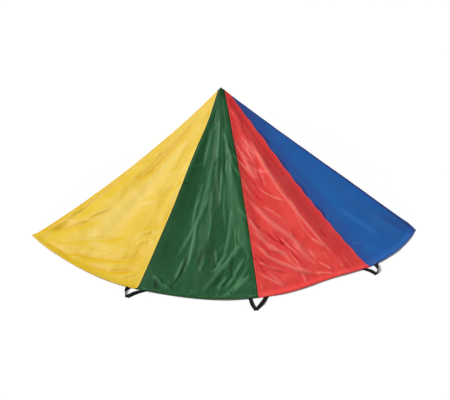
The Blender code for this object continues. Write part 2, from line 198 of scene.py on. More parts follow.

# broad areas of painted highlight (+) and painted shade (-): (heading, share down, half width) from end to end,
# strength, crispness of the edge
patches = {
    "yellow": (
        (((-36.0, 0.30, 0.03), (-38.0, 0.55, 0.10), (-40.0, 0.72, 0.13), (-41.0, 0.82, 0.09)), 0.60, 5),
        (((-24.0, 0.25, 0.025), (-24.5, 0.60, 0.06), (-24.5, 0.92, 0.07)), -0.40, 3),
        (((-53.0, 0.955, 0.012), (-40.0, 0.945, 0.028), (-25.0, 0.950, 0.040)), -0.30, 4),
        (((-57.0, 0.97, 0.010), (-56.4, 0.80, 0.045), (-55.0, 0.55, 0.020)), -0.55, 3),
        (((-45.0, 0.16, 0.008), (-47.0, 0.45, 0.030), (-49.0, 0.62, 0.020)), -0.35, 3),
        (((-45.0, 0.88, 0.010), (-36.0, 0.86, 0.030), (-27.0, 0.84, 0.012)), 0.45, 5),
    ),
    "green": (
        (((-17.5, 0.15, 0.02), (-17.5, 0.50, 0.06), (-17.0, 0.80, 0.10), (-16.5, 0.97, 0.12)), -0.30, 4),
        (((3.8, 0.36, 0.012), (4.8, 0.55, 0.050), (6.0, 0.70, 0.045), (7.2, 0.80, 0.010)), 0.50, 8),
        (((-1.5, 0.08, 0.006), (-2.5, 0.22, 0.014), (-4.0, 0.36, 0.010)), 0.10, 3),
        (((180.0, 0.070, 0.060), (0.0, 0.020, 0.060)), -0.55, 3),
        (((3.0, 0.90, 0.030), (6.0, 0.93, 0.040)), 0.30, 3),
        (((-2.0, 0.36, 0.020), (-3.0, 0.60, 0.040), (-4.0, 0.90, 0.080)), -0.40, 4),
    ),
    "red": (
        (((40.0, 0.08, 0.036), (37.0, 0.18, 0.055), (35.0, 0.30, 0.066), (35.5, 0.50, 0.096), (36.4, 0.80, 0.118),
          (37.0, 1.00, 0.130)), -0.38, 20),
        (((15.0, 0.38, 0.040), (21.0, 0.52, 0.030)), 0.12, 4),
        (((20.0, 0.05, 0.060), (18.0, 0.22, 0.080)), -0.35, 3),
        (((15.0, 0.70, 0.05), (22.0, 0.80, 0.05), (28.0, 0.88, 0.03)), 0.25, 6),
        (((16.0, 0.92, 0.03), (24.0, 0.93, 0.04)), 0.20, 6),
    ),
    "blue": (
        # painted shadow of the red gore's wavy edge along the red and blue seam
        (((42.6, 0.24, 0.006), (43.4, 0.28, 0.014), (42.2, 0.32, 0.006)), -0.9, 3),
        (((40.9, 0.37, 0.006), (41.0, 0.42, 0.016), (40.2, 0.46, 0.006)), -0.9, 3),
        (((40.0, 0.50, 0.006), (40.2, 0.55, 0.017), (39.6, 0.59, 0.006)), -0.9, 3),
        (((39.5, 0.64, 0.006), (39.6, 0.69, 0.016), (39.1, 0.72, 0.006)), -0.9, 3),
        (((57.0, 0.86, 0.040), (59.5, 0.98, 0.060)), -0.40, 2),
        # painted shade along the blue gore's outer fold
        (((60.3, 0.05, 0.010), (60.3, 0.50, 0.014), (60.3, 0.97, 0.018)), -0.80, 4),
        (((50.0, 0.35, 0.03), (48.0, 0.60, 0.09)), 0.25, 2),
    ),
}

# uneven cloth between the creases, in metres, at these headings round the tent
unevenness = {
    "turn": (-57.9, -25.0, -19.0, 7.0, 9.5, 33.0, 39.5, 60.5, 70.0, 266.0),
    "streaks": (0.0008, 0.0008, 0.0022, 0.0022, 0.0018, 0.0010, 0.0006, 0.0006, 0.0022, 0.0022),
    "lumps": (0.0014, 0.0012, 0.0014, 0.0016, 0.0028, 0.0020, 0.0009, 0.0009, 0.0040, 0.0040),
    "crinkles": (0.0004, 0.0004, 0.0007, 0.0007, 0.0008, 0.0006, 0.0003, 0.0003, 0.0010, 0.0010),
    "fromPeak": 0.12,  # it comes up over this share of the way down
    "byHem": (0.75, 0.955, 0.03),  # how much less, from where, over how much of the way down
    "creasesByHem": (0.6, 0.965, 0.02),
}


def smooth(x):
    x = np.clip(x, 0.0, 1.0)
    return x * x * (3 - 2 * x)


def hump(x):
    return np.where(np.abs(x) < 1, 0.5 + 0.5 * np.cos(np.pi * np.clip(x, -1, 1)), 0.0)


def noise(x, y, seed):  # soft random field between -1 and 1
    xi, yi = np.floor(x).astype(np.int64), np.floor(y).astype(np.int64)
    fx, fy = smooth(x - xi), smooth(y - yi)

    def corner(i, j):
        h = (i * 374761393 + j * 668265263 + seed * 974634777) & 0xFFFFFFFF
        h = ((h ^ (h >> 13)) * 1274126177) & 0xFFFFFFFF
        return ((h ^ (h >> 16)) & 0xFFFF) / 32767.5 - 1

    low = corner(xi, yi) * (1 - fx) + corner(xi + 1, yi) * fx
    high = corner(xi, yi + 1) * (1 - fx) + corner(xi + 1, yi + 1) * fx
    return low * (1 - fy) + high * fy


def toward(heading):
    angle = np.radians(heading)
    return np.stack([np.sin(angle), -np.cos(angle)], axis=-1)


def frontGround(heading):
    heading = np.asarray(heading, float)
    waves = sum(size * hump((heading - at) / reach) for at, reach, size in canopy["hemWaves"])
    return toward(heading) * (canopy["hemRadius"] + waves)[..., None]


def backOutline(share):  # plain outline point and the way it faces
    centre = np.array((0.0, back["centre"]))
    corners = (frontGround(canopy["rightCorner"]), frontGround(canopy["leftCorner"]))
    angles = []
    for corner, side in zip(corners, (1, -1)):
        away = corner - centre
        swing = math.acos(back["round"] / np.linalg.norm(away))
        angles.append(math.atan2(away[1], away[0]) + side * swing)
    first, last = angles[0], angles[1] + 2 * math.pi
    touch = [centre + back["round"] * np.array((math.cos(a), math.sin(a))) for a in (first, last)]
    straights = [np.linalg.norm(place - corner) for place, corner in zip(touch, corners)]
    runs = (straights[0], back["round"] * (last - first), straights[1])
    distance = share * sum(runs)
    if distance < runs[0]:
        along, facing = distance / runs[0], first
        start, end, bow = corners[0], touch[0], back["bows"][0]
    elif distance < runs[0] + runs[1]:
        facing = first + (distance - runs[0]) / back["round"]
        return centre + back["round"] * np.array((math.cos(facing), math.sin(facing))), facing
    else:
        along, facing = (distance - runs[0] - runs[1]) / runs[2], last
        start, end, bow = touch[1], corners[1], back["bows"][1]
    inward = -np.array((math.cos(facing), math.sin(facing)))
    return start + (end - start) * along + inward * bow * math.sin(math.pi * along), facing


def makeOutline():  # one table round the whole tent, by turn in degrees of cloth
    headings = np.linspace(canopy["leftCorner"], canopy["rightCorner"], 800)
    shares = np.linspace(0, 1, back["samples"])
    backLength = np.linalg.norm(np.diff([backOutline(share)[0] for share in shares[::20]], axis=0), axis=1).sum()
    plain, ripple = [], []
    for share in shares:
        point, facing = backOutline(share)
        inward = -np.array((math.cos(facing), math.sin(facing)))
        vary, fast = back["rippleVary"]
        depth = back["rippleDepth"] * (1 - vary + vary * math.sin(fast * share))
        depth *= min(1.0, back["rippleEnds"] * share, back["rippleEnds"] * (1 - share))
        phase = 2 * math.pi * (back["ripples"] * share + back["drift"] * math.sin(3.1 * math.pi * share) / 3)
        left = (1 - share) * backLength
        tuckMost, tuckSoon = back["cornerTuck"]
        tuckEnd, tuckOver = back["tuckEnd"]
        tucked = tuckMost * (1 - math.exp(-left / tuckSoon)) * (1 - smooth((left - tuckEnd) / tuckOver))
        plain.append(point + inward * (depth * 0.5 + tucked))
        ripple.append(-inward * depth * 0.5 * math.cos(phase))
    plain, ripple = np.array(plain), np.array(ripple)
    ground = plain + ripple
    rays = np.column_stack([ground, np.full(len(ground), -canopy["height"])])
    rays /= np.linalg.norm(rays, axis=1)[:, None]
    steps = np.degrees(np.linalg.norm(np.diff(rays, axis=0), axis=1))
    turnBack = canopy["rightCorner"] + np.concatenate([[0], np.cumsum(steps)])

    aim = np.interp(ground[:, 1], *zip(*back["aims"]))
    out = ground - np.column_stack([np.zeros(len(aim)), aim])
    reach = np.linalg.norm(out, axis=1)
    spare = canopy["slant"] - np.sqrt((ground**2).sum(axis=1) + canopy["height"] ** 2)
    tuck = np.minimum(spare, reach - back["middleClear"])
    sags = dict(canopy["sags"])
    ends = (sags[canopy["rightCorner"]], canopy["backSag"], canopy["backSag"], sags[canopy["leftCorner"]])
    blend = (0.0, canopy["sagBlend"], 1 - canopy["sagBlend"], 1.0)

    front = frontGround(headings)
    frontOut = front / np.linalg.norm(front, axis=1)[:, None]
    zeros = np.zeros(len(headings) - 1)
    table = {
        "turn": np.concatenate([headings[:-1], turnBack]),
        "x": np.concatenate([front[:-1, 0], plain[:, 0]]),
        "y": np.concatenate([front[:-1, 1], plain[:, 1]]),
        "rippleX": np.concatenate([zeros, ripple[:, 0]]),
        "rippleY": np.concatenate([zeros, ripple[:, 1]]),
        "outX": np.concatenate([frontOut[:-1, 0], (out / reach[:, None])[:, 0]]),
        "outY": np.concatenate([frontOut[:-1, 1], (out / reach[:, None])[:, 1]]),
        "tuck": np.concatenate([zeros, tuck]),
        "sag": np.concatenate(
            [np.interp(headings[:-1], *zip(*canopy["sags"])), np.interp(shares, blend, ends)]
        ),
    }
    table["angle"] = np.degrees(np.unwrap(np.arctan2(table["x"], -table["y"])))
    table["radius"] = np.hypot(table["x"], table["y"])
    return table


outline = makeOutline()
fullTurn = outline["turn"][-1] - outline["turn"][0]
backGore = (outline["turn"][-1] - canopy["rightCorner"]) / (8 + canopy["blueBehind"])
hemStart = 1 - cloth["hemWidth"] / canopy["hemRadius"]  # share of the way down
seams = [canopy["leftCorner"], *canopy["frontSeams"]]
seams += [canopy["rightCorner"] + (canopy["blueBehind"] + n) * backGore for n in range(9)]

leftTip = frontGround(canopy["leftCorner"])
frontHem = frontGround(np.linspace(*canopy["frontSeams"][:2], 60))[:, 1].min()
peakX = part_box("gore_01_yellow")[0].x - leftTip[0]
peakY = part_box("gore_02_green")[0].y - frontHem
print("foot of the peak: %.4f, %.4f" % (peakX, peakY))


def column(name, turn):
    start = canopy["leftCorner"]
    return np.interp((turn - start) % fullTurn + start, outline["turn"], outline[name])


def awayFrom(turn, at):  # the shorter way round, in degrees
    return (turn - at + fullTurn / 2) % fullTurn - fullTurn / 2


def inFront(turn):  # 1 on the spread gores, 0 behind the corners
    turn = (turn - canopy["leftCorner"]) % fullTurn + canopy["leftCorner"]
    rightEnd, leftEnd = canopy["frontEnds"]
    right = 1 - smooth((turn - canopy["rightCorner"]) / rightEnd)
    left = smooth((turn - canopy["leftCorner"] - fullTurn) / leftEnd + 1)
    return np.maximum(right, left)


# how far the three front seams wander sideways
drift = {
    "reach": 16.0,  # degrees on both sides of a seam
    "yellowGreen": 0.010,
    "greenRed": 0.017,
    "redBlue": (  # share down, how far aside
        (0, 0), (0.05, -0.025), (0.1, -0.022), (0.22, -0.010), (0.33, 0),
        (0.55, 0.008), (0.7, 0.012), (0.9, 0.006), (1, 0),
    ),
    "scallops": (0.0030, 0.074, 6.0),  # size, length and reach of the waves along the last seam
}


def seamDrift(turn, down):
    yellowGreen, greenRed, redBlue = canopy["frontSeams"]
    size, length, reach = drift["scallops"]
    aside = drift["yellowGreen"] * hump((down - 0.2) / 0.25) * hump((turn - yellowGreen) / drift["reach"])
    aside = aside + drift["greenRed"] * 4 * down * (1 - down) * hump((turn - greenRed) / drift["reach"])
    aside = aside + np.interp(down, *zip(*drift["redBlue"])) * hump((turn - redBlue) / drift["reach"])
    scallops = size * np.sin(2 * np.pi * down / length + 2 * np.sin(9 * down))
    scallops = scallops * smooth((down - 0.1) / 0.1) * smooth((0.98 - down) / 0.05)
    return aside + scallops * hump((turn - redBlue) / reach)


def toSurface(turn, share):  # from a place on the cut cloth to where it lies on the tent
    x, y = column("x", turn) * share, column("y", turn) * share
    left, right = canopy["leftCorner"], canopy["rightCorner"]
    side = np.abs(turn - (left + right) / 2) / ((right - left) / 2)
    fade = (1 - share) ** (1 + 2 * np.minimum(side, 1.0) ** 2)
    nearLeft = hump(awayFrom(turn, left) / 8)
    fade = fade * (1 - nearLeft * smooth(share / 0.5))  # the left seam soon runs in the fold itself
    aside = seamDrift(turn, share)
    angle = np.radians(turn)
    x = x + canopy["centre"][0] * fade + np.cos(angle) * aside
    y = y + canopy["centre"][1] * fade + np.sin(angle) * aside
    start = outline["angle"][0]
    heading = (np.degrees(np.arctan2(x, -y)) - start) % 360 + start
    heading = np.where((share >= 1) & (np.abs(heading - start - 360) < 0.01), start, heading)
    surfaceTurn = np.interp(heading, outline["angle"], outline["turn"])
    return surfaceTurn, np.hypot(x, y) / np.interp(surfaceTurn, outline["turn"], outline["radius"])


curl = {
    "start": 0.962,  # share of the way down
    "height": 0.0065,
    "uneven": ((0.0035, 4.3, 51), (0.0015, 1.7, 52)),  # by how much, degrees apart, seed
    "byHandle": (0.9, 3.4),  # how much less it is there, and its reach
}


def hemLift(turn):  # the hem curls up off the ground, less at the handles
    wave = curl["height"] + sum(size * noise(turn / apart, turn * 0, seed) for size, apart, seed in curl["uneven"])
    less, reach = curl["byHandle"]
    for seam in (*canopy["frontSeams"], canopy["leftCorner"], canopy["rightCorner"]):
        wave = wave * (1 - less * hump((turn - seam) / reach))
    return wave


def tentPoint(turn, down):
    ripple = smooth((down - back["rippleStart"]) / (back["rippleFull"] - back["rippleStart"]))
    x = (column("x", turn) + column("rippleX", turn) * ripple) * down
    y = (column("y", turn) + column("rippleY", turn) * ripple) * down
    sag, front, height, band = column("sag", turn), inFront(turn), canopy["height"], canopy["floorBand"]
    level = height * (1 - down) - sag * 4 * down * (1 - down)
    meet = height * (1 - band) - sag * 4 * band * (1 - band)
    level = level - front * meet * down
    for top, bottom, start, end, reach, size in broadFolds:
        along = np.clip((down - start) / (end - start), 0, 1)
        middle = top + (bottom - top) * along
        level = level + size * np.sin(np.pi * along) * hump((turn - middle) / reach)
    for at, reach, size in canopy["cornerRolls"]:
        roll = size * hump(awayFrom(turn, at) / reach) * smooth(down / 0.8)
        level = level + roll * smooth((1 - down) / canopy["cornerRollEnd"])
    level = level + canopy["peakRise"][0] * np.exp(-down / canopy["peakRise"][1]) * (1 - down)
    x = x - canopy["tipLean"] * (1 - down) ** 3
    curled = front * smooth((down - curl["start"]) / (1 - curl["start"])) * hemLift(turn)
    radius = np.hypot(x, y)
    slope = (height + 4 * sag) / column("radius", turn)
    level = level - slope * (np.sqrt(radius**2 + canopy["tipRound"] ** 2) - radius)
    rise = back["foldRise"] * smooth(column("tuck", turn) / back["foldFull"])
    over = level - rise
    landed = 0.5 * (over + np.sqrt(over**2 + canopy["landing"] ** 2)) + rise
    return np.stack([x, y, landed + curled + cloth["thickness"] / 2], axis=-1)


# many small creases: how many, headings, shares down, lean from straight down, length, width, height
smallCreases = (
    (20, (-56.0, -21.0), (0.35, 0.96), (-62.0, -30.0), (0.10, 0.30), (0.007, 0.013), 0.0024),
    (12, (-32.0, -21.0), (0.15, 0.80), (-10.0, 2.0), (0.14, 0.36), (0.006, 0.010), 0.0018),
    (18, (-13.0, 5.0), (0.15, 0.93), (-14.0, 0.0), (0.14, 0.42), (0.004, 0.007), 0.0032),
    (16, (-4.0, 7.5), (0.74, 0.96), (-48.0, -24.0), (0.08, 0.24), (0.005, 0.009), 0.0040),
    (8, (-18.0, -10.0), (0.86, 0.96), (10.0, 40.0), (0.05, 0.12), (0.004, 0.007), 0.0024),
    (30, (9.5, 24.0), (0.30, 0.93), (20.0, 44.0), (0.10, 0.34), (0.005, 0.010), 0.0040),
    (16, (20.0, 30.0), (0.12, 0.90), (-6.0, 14.0), (0.14, 0.40), (0.005, 0.009), 0.0030),
    (12, (26.0, 36.0), (0.75, 0.965), (-20.0, 20.0), (0.05, 0.12), (0.005, 0.008), 0.0022),
    (10, (42.0, 58.0), (0.30, 0.95), (-10.0, 14.0), (0.10, 0.30), (0.009, 0.014), 0.0010),
    (26, (-17.0, 36.0), (0.950, 0.985), (-30.0, 30.0), (0.025, 0.05), (0.004, 0.007), 0.0022),
)


def strew():
    chance = np.random.default_rng(12)
    found = []
    for count, headings, shares, leans, lengths, widths, height in smallCreases:
        for _ in range(count):
            heading, share = chance.uniform(*headings), chance.uniform(*shares)
            lean, length = math.radians(chance.uniform(*leans)), chance.uniform(*lengths)
            width = chance.uniform(*widths)
            size = height * chance.uniform(0.5, 1.2) * chance.choice((1, 1, 1, -1))
            place, down = frontGround(heading) * share, toward(heading)
            run = down * math.cos(lean) + np.array((-down[1], down[0])) * math.sin(lean)
            bow = np.array((-run[1], run[0])) * length * chance.uniform(-0.07, 0.07)
            path = [place - run * length / 2, place + bow, place + run * length / 2]
            found.append((np.array(path), width, size, chance.uniform(-0.3, 0.4)))
    return found


def besidePath(x, y, path, reach):  # which points lie near a path, how far aside and how far along it
    lengths = np.linalg.norm(np.diff(path, axis=0), axis=1)
    begins = np.concatenate([[0], np.cumsum(lengths)])
    near = (x > path[:, 0].min() - reach) & (x < path[:, 0].max() + reach)
    near &= (y > path[:, 1].min() - reach) & (y < path[:, 1].max() + reach)
    px, py = x[near], y[near]
    best, offset, travelled = np.full(px.shape, 1e9), np.zeros(px.shape), np.zeros(px.shape)
    for a, b, length, begin in zip(path, path[1:], lengths, begins):
        run = (b - a) / length
        along = np.clip((px - a[0]) * run[0] + (py - a[1]) * run[1], 0, length)
        dx, dy = px - a[0] - run[0] * along, py - a[1] - run[1] * along
        gap = np.hypot(dx, dy)
        closer = gap < best
        best = np.where(closer, gap, best)
        offset = np.where(closer, np.sign(run[0] * dy - run[1] * dx) * gap, offset)
        travelled = np.where(closer, begin + along, travelled)
    return near, offset, travelled / begins[-1]


crease = {
    "laidWidth": 0.85,  # both times what the table of laid creases says
    "laidHeight": 1.25,
    "leastWidth": 0.0085,
    "shadingHeight": 0.0085,  # a crease this high gets its full painted highlight or shade
    "shadingLimits": (-0.6, 0.95),
    "small": (0.006, 1.7),  # below this height a crease's painted highlight or shade is this much stronger
    "shadingRise": 0.55,  # the painted highlight and shade come up over this distance from the peak
    "taper": (0.35, 0.12),  # over this share of its length, from this height at its ends
    "edges": (1.3, 5),  # how square its section is, and its painted shading's
}


def creased(x, y):  # height of the creases, and the painted highlight (+) and painted shade (-) along them
    height, shading = np.zeros_like(x), np.zeros_like(x)
    for path, width, size, lean in laid + strewn:
        near, offset, share = besidePath(x, y, path, 4 * width)
        if not near.any():
            continue
        width = max(width, crease["leastWidth"])
        wide = width * (1 + lean * np.tanh(offset / width * 2))
        over, begin = crease["taper"]
        taper = smooth(share / over + begin) * smooth((1 - share) / over + begin)
        edge, shadingEdge = crease["edges"]
        height[near] += size * taper * np.exp(-(np.abs(offset / wide) ** edge))
        small, stronger = crease["small"]
        strength = np.clip(size / crease["shadingHeight"], *crease["shadingLimits"])
        strength = strength * (1.0 if abs(size) > small else stronger)
        shading[near] += strength * taper * np.exp(-(np.abs(offset / wide) ** shadingEdge))
    return height, shading * smooth(np.hypot(x, y) / crease["shadingRise"])


def patched(x, y, colour):  # broad areas of painted highlight and painted shade
    shading = np.zeros_like(x)
    for places, tone, edge in patches[colour]:
        path = np.array([frontGround(heading) * down for heading, down, half in places])
        lengths = np.linalg.norm(np.diff(path, axis=0), axis=1)
        knots = np.concatenate([[0], np.cumsum(lengths)]) / lengths.sum()
        halves = [half for heading, down, half in places]
        near, offset, share = besidePath(x, y, path, 1.6 * max(halves))
        shading[near] += tone * np.exp(-(np.abs(offset / np.interp(share, knots, halves)) ** edge))
    return shading


laid = [
    (np.array([frontGround(heading) * down for heading, down in places]),
     width * crease["laidWidth"], size * crease["laidHeight"], lean)
    for gore in creases.values() for places, width, size, lean in gore
]
strewn = strew()


def lessBelow(down, rule):
    less, start, over = rule
    return 1 - less * smooth((down - start) / over)


def relief(points, turn, down, creaseHeight):  # creases and unevenness, outwards from the smooth tent
    x, y = points[..., 0], points[..., 1]
    amount, last = {}, outline["turn"][-1]
    for name in ("streaks", "lumps", "crinkles"):  # they meet again at the left corner
        amount[name] = np.interp(turn, (*unevenness["turn"], last), (*unevenness[name], unevenness[name][0]))
    fromCorner = np.minimum(np.abs(turn - canopy["leftCorner"]), np.abs(turn - last))
    amount["streaks"] = amount["streaks"] * smooth(fromCorner / 4)
    radius = canopy["hemRadius"] * down
    streaks = noise(turn / 1.9 + 0.8 * noise(radius / 0.3, turn / 9, 5), radius / 0.26, 11)
    bent = noise(x / 0.21, y / 0.21, 25) * 0.6
    lumps = noise(x / 0.17 + bent, y / 0.15 - bent, 21)
    lumps = 1 - 2 * np.sqrt(lumps**2 + 0.01) + 0.5 * noise(x / 0.08, y / 0.08, 22)
    fine = 1 - 2 * np.abs(noise(x / 0.038 + 0.7 * noise(x / 0.1, y / 0.1, 3), y / 0.046, 31))
    finer = 1 - 2 * np.abs(noise(x / 0.021, y / 0.024, 32))
    total = amount["streaks"] * streaks + amount["lumps"] * lumps
    total = total + amount["crinkles"] * (fine + 0.4 * finer)
    total = total * smooth(down / unevenness["fromPeak"]) * lessBelow(down, unevenness["byHem"])
    return total + creaseHeight * lessBelow(down, unevenness["creasesByHem"])


def gridNormals(grid):
    down, across = np.gradient(grid, axis=1), np.gradient(grid, axis=0)
    normals = np.cross(down, across)
    return normals / np.maximum(np.linalg.norm(normals, axis=-1), 1e-12)[..., None]


def link(name, data):  # a new object in the scene
    thing = bpy.data.objects.new(name, data)
    bpy.context.scene.collection.objects.link(thing)
    return thing


def makeObject(name, vertices, faces, material, uv=None, **values):
    mesh = bpy.data.meshes.new(name)
    mesh.from_pydata(vertices.tolist(), [], faces)
    mesh.materials.append(material)
    mesh.shade_smooth()
    mesh.set_sharp_from_angle(angle=math.radians(50))
    if uv is not None:
        corners = np.zeros(len(mesh.loops), np.int32)
        mesh.loops.foreach_get("vertex_index", corners)
        layer = mesh.uv_layers.new(name="cloth")
        layer.data.foreach_set("uv", uv[corners].astype(np.float32).ravel())
    for label, numbers in values.items():
        mesh.attributes.new(label, "FLOAT", "POINT").data.foreach_set("value", numbers.astype(np.float32))
    return link(name, mesh)


def closeSheet(points, normals, above, below, faces):  # both sides and the walls round every edge
    count = len(points)
    vertices = np.concatenate([points + normals * above[:, None], points - normals * below[:, None]])
    vertices[:, 2] = np.maximum(vertices[:, 2], cloth["floorClear"])
    both = [tuple(f) for f in faces.tolist()]
    both += [tuple(reversed([i + count for i in f])) for f in faces.tolist()]
    ends = np.concatenate([faces[:, [k, (k + 1) % 4]] for k in range(4)])
    code = ends[:, 0].astype(np.int64) * count + ends[:, 1]
    reverse = ends[:, 1].astype(np.int64) * count + ends[:, 0]
    rim = ends[~np.isin(code, reverse)]
    both += [(b, a, a + count, b + count) for a, b in rim.tolist()]
    return vertices, both


goreRows = {}


def rowShares(front):
    count = cloth["wallRows"][0 if front else 1]
    band = hemStart + np.array(cloth["hemRows"])
    top = np.linspace(cloth["firstRow"], cloth["topShare"], cloth["topRows"], endpoint=False)
    wall = np.linspace(cloth["topShare"], band[0], count, endpoint=False)
    return np.concatenate([top, wall, band, cloth["lastRows"]])


def makeGore(number, colour, start, end, over, material):
    # over says for each side whether this gore lies on top of its neighbour there
    front = number <= 4
    rows = rowShares(front or number == 12)  # the twelfth meets the first one's edge row by row
    columns = cloth["frontColumns"] if front else cloth["backColumns"]
    width = np.linalg.norm(frontGround(start) - frontGround(end)) if number < 4 else cloth["backWidth"]
    lap = np.minimum(cloth["lapWidth"] / (width * rows), cloth["mostLap"])
    beside, lifted = cloth["edgePart"], cloth["liftPart"]
    inner = np.linspace(0, 1, columns - 5)
    if number == 4:
        bend = (canopy["rightCorner"] - start) / (end - start)
        inner = np.sort(np.concatenate([inner, bend + np.array(cloth["foldColumns"])]))
    close = cloth["cornerColumns"] if number == 1 else ()
    u = [-lap * 2, -lap, -lap * beside, lap * beside, *(lap * part for part in close), lap * lifted, lap]
    u += [lap + (1 - 2 * lap) * share for share in inner[1:-1]]
    u += [1 - lap, 1 - lap * lifted, 1 - lap * beside, 1 + lap * beside, 1 + lap, 1 + lap * 2]
    if number == 12:  # only a narrow lap at the sharp fold, drawn in under the first gore
        u[-3] = 1 + lap * cloth["narrowLap"]
    u = np.array(u)  # column by row
    share = np.broadcast_to(rows, u.shape)
    if number == 1:  # its hem corner is cut round beside the seam
        near = np.clip(1 - (1 - rows) * canopy["slant"] / cloth["roundCorner"], 0, 1)
        cutBack = cloth["roundCorner"] * (1 - np.sqrt(1 - near**2)) / width
        u = u - np.clip((u - 0.94) / 0.06, 0, 1) * cutBack
    turn, down = toSurface(start + (end - start) * u, share)
    base = tentPoint(turn, down)
    # painted highlight and shade from the creases and the patches, kept with the cloth
    creaseHeight, tone = creased(base[..., 0], base[..., 1])
    if front:
        tone = tone + patched(base[..., 0], base[..., 1], colour)
    grid = base + gridNormals(base) * relief(base, turn, down, creaseHeight)[..., None]
    grid[..., 2] = np.maximum(grid[..., 2], cloth["thickness"] / 2)

    if front:  # the hem rides over the strap ends sewn under it
        ride = straps["ride"]
        for middle, run, out in strapEnds:
            away = grid[..., :2] - middle
            onStrap = smooth((ride["half"] - np.abs(away @ run)) / ride["side"])
            onStrap = onStrap * smooth((ride["deep"] + away @ out) / ride["end"])
            grid[..., 2] += straps["thickness"] * ride["lift"] * onStrap

    half = cloth["thickness"] / 2
    lift = np.zeros(u.shape)
    keep = np.ones(len(u), bool)
    keep[[0, -1]] = False
    for side, on in zip((0, 1), over):
        outside = (slice(1, 3) if side == 0 else slice(-3, -1))
        if on:  # the top cloth ends at the seam and stands on the lap of the other
            keep[outside] = False
            band = slice(3, 5 + len(close)) if side == 0 else slice(-5, -3)
            lift[band] = cloth["lapLift"]
    if number == 12:
        keep[-2] = False
        lift[-3] = -cloth["underDrop"]
    normals = gridNormals(grid)
    above, below = np.full(u.shape, half), np.full(u.shape, half)
    if front:
        above[:, rows >= hemStart] += cloth["hemExtra"]
        above[:, -1] = half
    grid = grid + normals * lift[..., None]

    uv = np.stack([(u - 0.5) * width * share, share * canopy["slant"]], axis=-1)
    edge = np.minimum(np.abs(u), np.abs(1 - u)) * width * share
    tucked = np.zeros(len(u), bool)
    if number >= 4:
        turnHem = start + (end - start) * u[:, -1]
        tuck = column("tuck", turnHem)
        tucked = tuck > back["smallestFlap"]
        tuck = np.maximum(tuck, 0.001)
        extra, along = tuckRows(grid[:, -1], turnHem, tuck)
        grid = np.concatenate([grid, extra], axis=1)
        normals = gridNormals(grid)
        pad = ((0, 0), (0, extra.shape[1]))
        above, below, edge = (np.pad(values, pad, mode="edge") for values in (above, below, edge))
        across = np.broadcast_to(uv[:, -1:, 0], along.shape)
        uv = np.concatenate([uv, np.stack([across, along + 1.0], axis=-1)], axis=1)
        tone = np.pad(tone, pad)
        inHem = tuck[:, None] * (1 - tuckShares) < cloth["hemWidth"]
        below[:, -cloth["tuckRows"]:][inHem] += cloth["hemExtra"]

    kept = np.where(keep)[0]
    rowCount, wallCount = grid.shape[1], len(rows)
    faces = []
    for near, far in zip(kept, kept[1:]):
        last = rowCount if tucked[near] and tucked[far] else wallCount
        for row in range(last - 1):
            a, b = near * rowCount + row, far * rowCount + row
            faces.append((a, a + 1, b + 1, b))
    faces = np.array(faces)
    used = np.unique(faces)
    place = np.full(grid.shape[0] * rowCount, -1)
    place[used] = np.arange(len(used))
    points = grid.reshape(-1, 3)[used] + np.array((peakX, peakY, 0.0))
    vertices, both = closeSheet(
        points, normals.reshape(-1, 3)[used], above.ravel()[used], below.ravel()[used], place[faces]
    )
    gore = makeObject(
        f"canopy_{number:02d}_{colour}", vertices, both, material, np.tile(uv.reshape(-1, 2)[used], (2, 1)),
        edge=np.tile(edge.ravel()[used], 2), tone=np.tile(tone.ravel()[used], 2),
    )
    goreRows[number] = {
        "u": u, "rows": rows, "width": width, "hem": grid[:, -1],
        "grid": grid[:, :wallCount], "normals": normals[:, :wallCount], "above": above[:, :wallCount],
    }
    return gore


tuckShares = np.linspace(0, 1, cloth["tuckRows"]) ** 0.97


def tuckRows(hem, turn, tuck):  # the roll at the ground and the surplus cloth lying in creases inside
    out = np.stack([column("outX", turn), column("outY", turn)], axis=-1)
    rest = cloth["thickness"] / 2
    rolled = smooth(tuck / back["foldFull"])
    points = []
    ground = hem[:, :2]
    for angle in (35, 90, 145):
        push = back["foldOut"] * math.sin(math.radians(angle)) * rolled
        level = rest + (hem[:, 2] - rest) * (0.5 + 0.5 * math.cos(math.radians(angle)))
        points.append(np.column_stack([ground + out * push[:, None], level]))
    for share in tuckShares:
        inside = tuck * share
        phase = inside / back["tuckWave"] + 0.5 * noise(turn / 7, inside / 0.2, 41)
        phase = phase + 0.35 * noise(turn / 2.6, inside / 0.1, 42)
        steep, begin = back["tuckRise"]
        size = np.minimum(back["tuckHeight"], steep * np.maximum(inside - begin, 0))
        size = size * (0.75 + 0.25 * noise(turn / 5, inside / 0.12, 43))
        size = size * smooth((tuck - inside) / 0.024 + 0.3)
        for seam in seams[4:-1]:  # flat where a handle lies on it
            beside = np.abs(turn - seam) / backGore
            size = size * (1 - smooth(2.2 - beside / 0.085) * smooth((inside - tuck + 0.24) / 0.03))
        level = rest + size * (0.5 - 0.5 * np.cos(2 * np.pi * phase))
        points.append(np.column_stack([ground - out * inside[:, None], level]))
    grid = np.stack(points, axis=1)
    steps = np.linalg.norm(np.diff(np.concatenate([hem[:, None], grid], axis=1), axis=1), axis=-1)
    return grid, np.cumsum(steps, axis=1)


